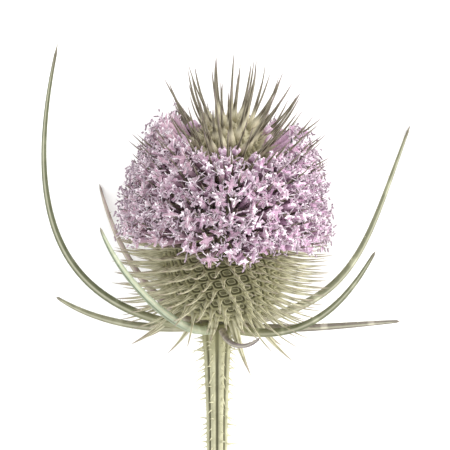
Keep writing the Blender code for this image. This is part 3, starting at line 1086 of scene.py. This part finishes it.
stamen = {
    "seed": 21,
    "perFloret": 4,
    "missing": 0.25,
    # share of the reach where a thread starts, then how far it goes on and to the side in mm
    "startShare": 0.8,
    "beyond": (0.1, 1.7),
    "spread": (0.3, 2.3),
    "offMiddle": 0.4,
    "threadRadius": 0.13,
    "threadSides": 4,
    "threadRows": 5,
    "antherLength": 1.2,
    "antherLengthShare": (0.8, 1.25),
    "antherSides": 6,
    "antherRows": 4,
    # in radians, from the middle between two lobes
    "turn": 0.4,
    "antherSpin": 1.2,
    "antherTilt": 0.7,
    # share of the anther's length, share of its radius
    "antherForm": ((0.0, 0.45), (0.25, 1.0), (0.5, 0.75), (0.75, 1.0), (1.0, 0.4)),
    "antherRadius": 0.2,
    "threadLook": {
        "light": "f8f0f6", "dark": "eadde6", "patchScale": 300.0, "roughness": 0.5,
        "fibreCount": 2.0, "fibreLength": 4.0, "bump": 0.05,
        "shades": [("along", "ffffff", 0.5, 1.0, 0.4)],
    },
    "antherLook": {
        "light": "bba9b6", "dark": "9a8794", "patchScale": 900.0, "roughness": 0.75,
        "fibreCount": 3.0, "fibreLength": 6.0, "bump": 0.3,
        "shades": [("toneAndShade", "84747e", 0.0, 1.0, 0.6)],
    },
}


def makeStamens(lines):
    draw = random.Random(stamen["seed"])
    thread, corners = unitTube("threadTube", stamen["threadSides"], stamen["threadRows"])
    threadAngle, threadShare = corners
    anther, corners = unitTube(
        "antherTube", stamen["antherSides"], stamen["antherRows"], pointed=False
    )
    antherAngle, antherShare = corners
    bulge = np.interp(antherShare, *columns(stamen["antherForm"])) * stamen["antherRadius"] * mm
    width, offMiddle = stamen["threadRadius"] * mm, stamen["offMiddle"] * mm
    threads, anthers = [], []
    for root, outward, reach, roll in lines:
        across, up = crossways(outward)
        root, outward = np.array(root), np.array(outward)
        for k in range(stamen["perFloret"]):
            if draw.random() < stamen["missing"]:
                continue
            turn = roll + 2 * math.pi * (k + 0.5) / stamen["perFloret"]
            turn += draw.uniform(-stamen["turn"], stamen["turn"])
            away = across * math.cos(turn) + up * math.sin(turn)
            sideways = draw.uniform(*stamen["spread"]) * mm
            start = reach * stamen["startShare"]
            run = reach - start + draw.uniform(*stamen["beyond"]) * mm
            bow = threadShare ** 2 * sideways + offMiddle
            points = sweep(
                root, (start + run * threadShare, outward), (bow, away),
                (width * np.cos(threadAngle), across), (width * np.sin(threadAngle), up),
            )
            threads.append((points, {"along": threadShare, "across": threadAngle}))
            end = root + (start + run) * outward + (sideways + offMiddle) * away
            tilt = draw.uniform(-stamen["antherTilt"], stamen["antherTilt"])
            spin = turn + draw.uniform(-stamen["antherSpin"], stamen["antherSpin"])
            flat = across * math.cos(spin) + up * math.sin(spin)
            along = Vector(flat * math.cos(tilt) + outward * math.sin(tilt)).normalized()
            antherAcross, antherUp = crossways(along)
            length = stamen["antherLength"] * mm * draw.uniform(*stamen["antherLengthShare"])
            points = sweep(
                end, ((antherShare - 0.5) * length, along),
                (bulge * np.cos(antherAngle), antherAcross),
                (bulge * np.sin(antherAngle), antherUp),
            )
            anthers.append((points, {
                "along": antherShare, "across": antherAngle, "toneAndShade": draw.random(),
            }))
    mesh = stampCopies("stamen_threads", thread, threads, headFrame)
    finish = tissue("thread_finish", stamen["threadLook"])
    makePiece(mesh, finish, ["floret_band"])
    mesh = stampCopies("anthers", anther, anthers, headFrame)
    finish = tissue("anther_finish", stamen["antherLook"])
    makePiece(mesh, finish, ["floret_band"])


# Buds: closed florets just above the open ones

bud = {
    "seed": 9,
    # how far above the open florets they stand, and what share of the sites has none
    "rise": 3.5 * mm,
    "missing": 0.45,
    # in mm, at the top and just above the open florets
    "length": (3.6, 6.0),
    "lengthShare": (0.85, 1.15),
    "droop": 0.1,
    # the four lobes' folds as a share of the radius
    "folds": 0.12,
    "seamFrom": 0.5,
    "seamPower": 4,
    "sides": 12,
    "rows": 10,
    # share of the length, radius in mm
    "form": ((0.0, 0.45), (0.35, 0.6), (0.7, 0.9), (0.9, 0.8), (0.97, 0.5), (1.0, 0.0)),
    "look": {
        "light": "d2b6cc", "dark": "a887a0", "patchScale": 500.0, "roughness": 0.5,
        "fibreCount": 2.0, "fibreLength": 3.0, "bump": 0.15,
        "shades": [
            ("seam", "f3e4ee", 0.4, 1.0, 0.8),
            ("along", "8d9270", 0.55, 0.1, 0.7),
        ],
    },
}


def makeBuds():
    template, (angle, share) = unitTube("budTube", bud["sides"], bud["rows"])
    draw = random.Random(bud["seed"])
    copies = []
    for n, (azimuth, height) in enumerate(sites):
        above = height - bandHigh(azimuth)
        if not -floret["edge"] < above < bud["rise"]:
            continue
        if draw.random() < bud["missing"]:
            continue
        root, outward, _ = spineLine(n)
        outward = (outward - upright * bud["droop"]).normalized()
        across, up = crossways(outward)
        length = np.interp(above, (0, bud["rise"]), bud["length"][::-1]) * mm
        folds = 1 + bud["folds"] * np.cos(floret["lobes"] * angle)
        radius = np.interp(share, *columns(bud["form"])) * folds * mm
        reach = length * draw.uniform(*bud["lengthShare"]) * share
        points = sweep(
            root, (reach, outward), (radius * np.cos(angle), across),
            (radius * np.sin(angle), up),
        )
        seam = np.abs(np.cos(2 * angle)) ** bud["seamPower"] * (share > bud["seamFrom"])
        copies.append((points, {"along": share, "across": angle, "seam": seam}))
    mesh = stampCopies("closed_buds", template, copies, headFrame)
    finish = tissue("bud_finish", bud["look"])
    makePiece(mesh, finish, ["floret_band"])


makeStem()
prickleFinish = makeStemPrickles()
makeBracts(prickleFinish)
makeNet()
makeSpines()
floretLines = makeFlorets()
makeStamens(floretLines)
makeBuds()


# Table, light and camera

stage = {
    "size": 3.0,
    "light": "fcfcfb",
    "dark": "f9f9f8",
    "patchScale": 8.0,
    "roughness": 0.9,
    "skyStrength": 1.55,
    # height of the point that the lamps face
    "lampAim": 0.02,
    # name: place in metres, size in metres, watts, colour
    "lamps": {
        "key": ((0.6, 0.15, 0.25), 0.5, 4.0, "fffdf8"),
    },
    # the camera: how far off it is, how wide it sees there, and what it faces from the origin
    "distance": 0.35,
    "frameWidth": 0.099,
    "sensorWidth": 36.0,
    "clipStart": 0.01,
    "tilt": math.radians(6.0),
    "aim": (1.76 * mm, 23.1 * mm),
}


def makeTable():
    bm = bmesh.new()
    bmesh.ops.create_grid(bm, x_segments=1, y_segments=1, size=stage["size"] / 2)
    mesh = meshOf(bm, "table_top")
    table = addObject("table_top", mesh)
    material = bpy.data.materials.new("table_finish")
    material.use_nodes = True
    tree = material.node_tree
    shader = tree.nodes["Principled BSDF"]
    shader.inputs["Roughness"].default_value = stage["roughness"]
    base = put(tree, "ShaderNodeGroup", {
        "Light": tone(stage["light"]), "Dark": tone(stage["dark"]), "Scale": stage["patchScale"],
    }, node_tree=mottle)
    tree.links.new(base.outputs["Color"], shader.inputs["Base Color"])
    mesh.materials.append(material)


def makeLight():
    world = bpy.data.worlds.new("soft_sky")
    world.use_nodes = True
    sky = world.node_tree.nodes["Background"]
    sky.inputs["Color"].default_value = (1.0, 1.0, 1.0, 1.0)
    sky.inputs["Strength"].default_value = stage["skyStrength"]
    bpy.context.scene.world = world
    for name, (place, size, watts, colour) in stage["lamps"].items():
        lamp = bpy.data.lights.new(name, "AREA")
        lamp.shape = "DISK"
        lamp.size = size
        lamp.energy = watts
        lamp.color = tone(colour)[:3]
        holder = addObject(name, lamp)
        holder.location = place
        holder.rotation_mode = "QUATERNION"
        towards = upright * stage["lampAim"] - Vector(place)
        holder.rotation_quaternion = towards.to_track_quat("-Z", "Y")
    bpy.context.scene.view_settings.view_transform = "Standard"


def makeCamera():
    lens = bpy.data.cameras.new("camera")
    lens.sensor_width = stage["sensorWidth"]
    lens.lens = lens.sensor_width * stage["distance"] / stage["frameWidth"]
    lens.clip_start = stage["clipStart"]
    camera = addObject("camera", lens)
    aim = origin + Vector((*stage["aim"], 0))
    back = Vector((0, math.sin(stage["tilt"]), math.cos(stage["tilt"])))
    camera.location = aim + back * stage["distance"]
    camera.rotation_euler = (-stage["tilt"], 0, 0)
    bpy.context.scene.camera = camera


makeTable()
makeLight()
makeCamera()
print("table, light and camera placed")
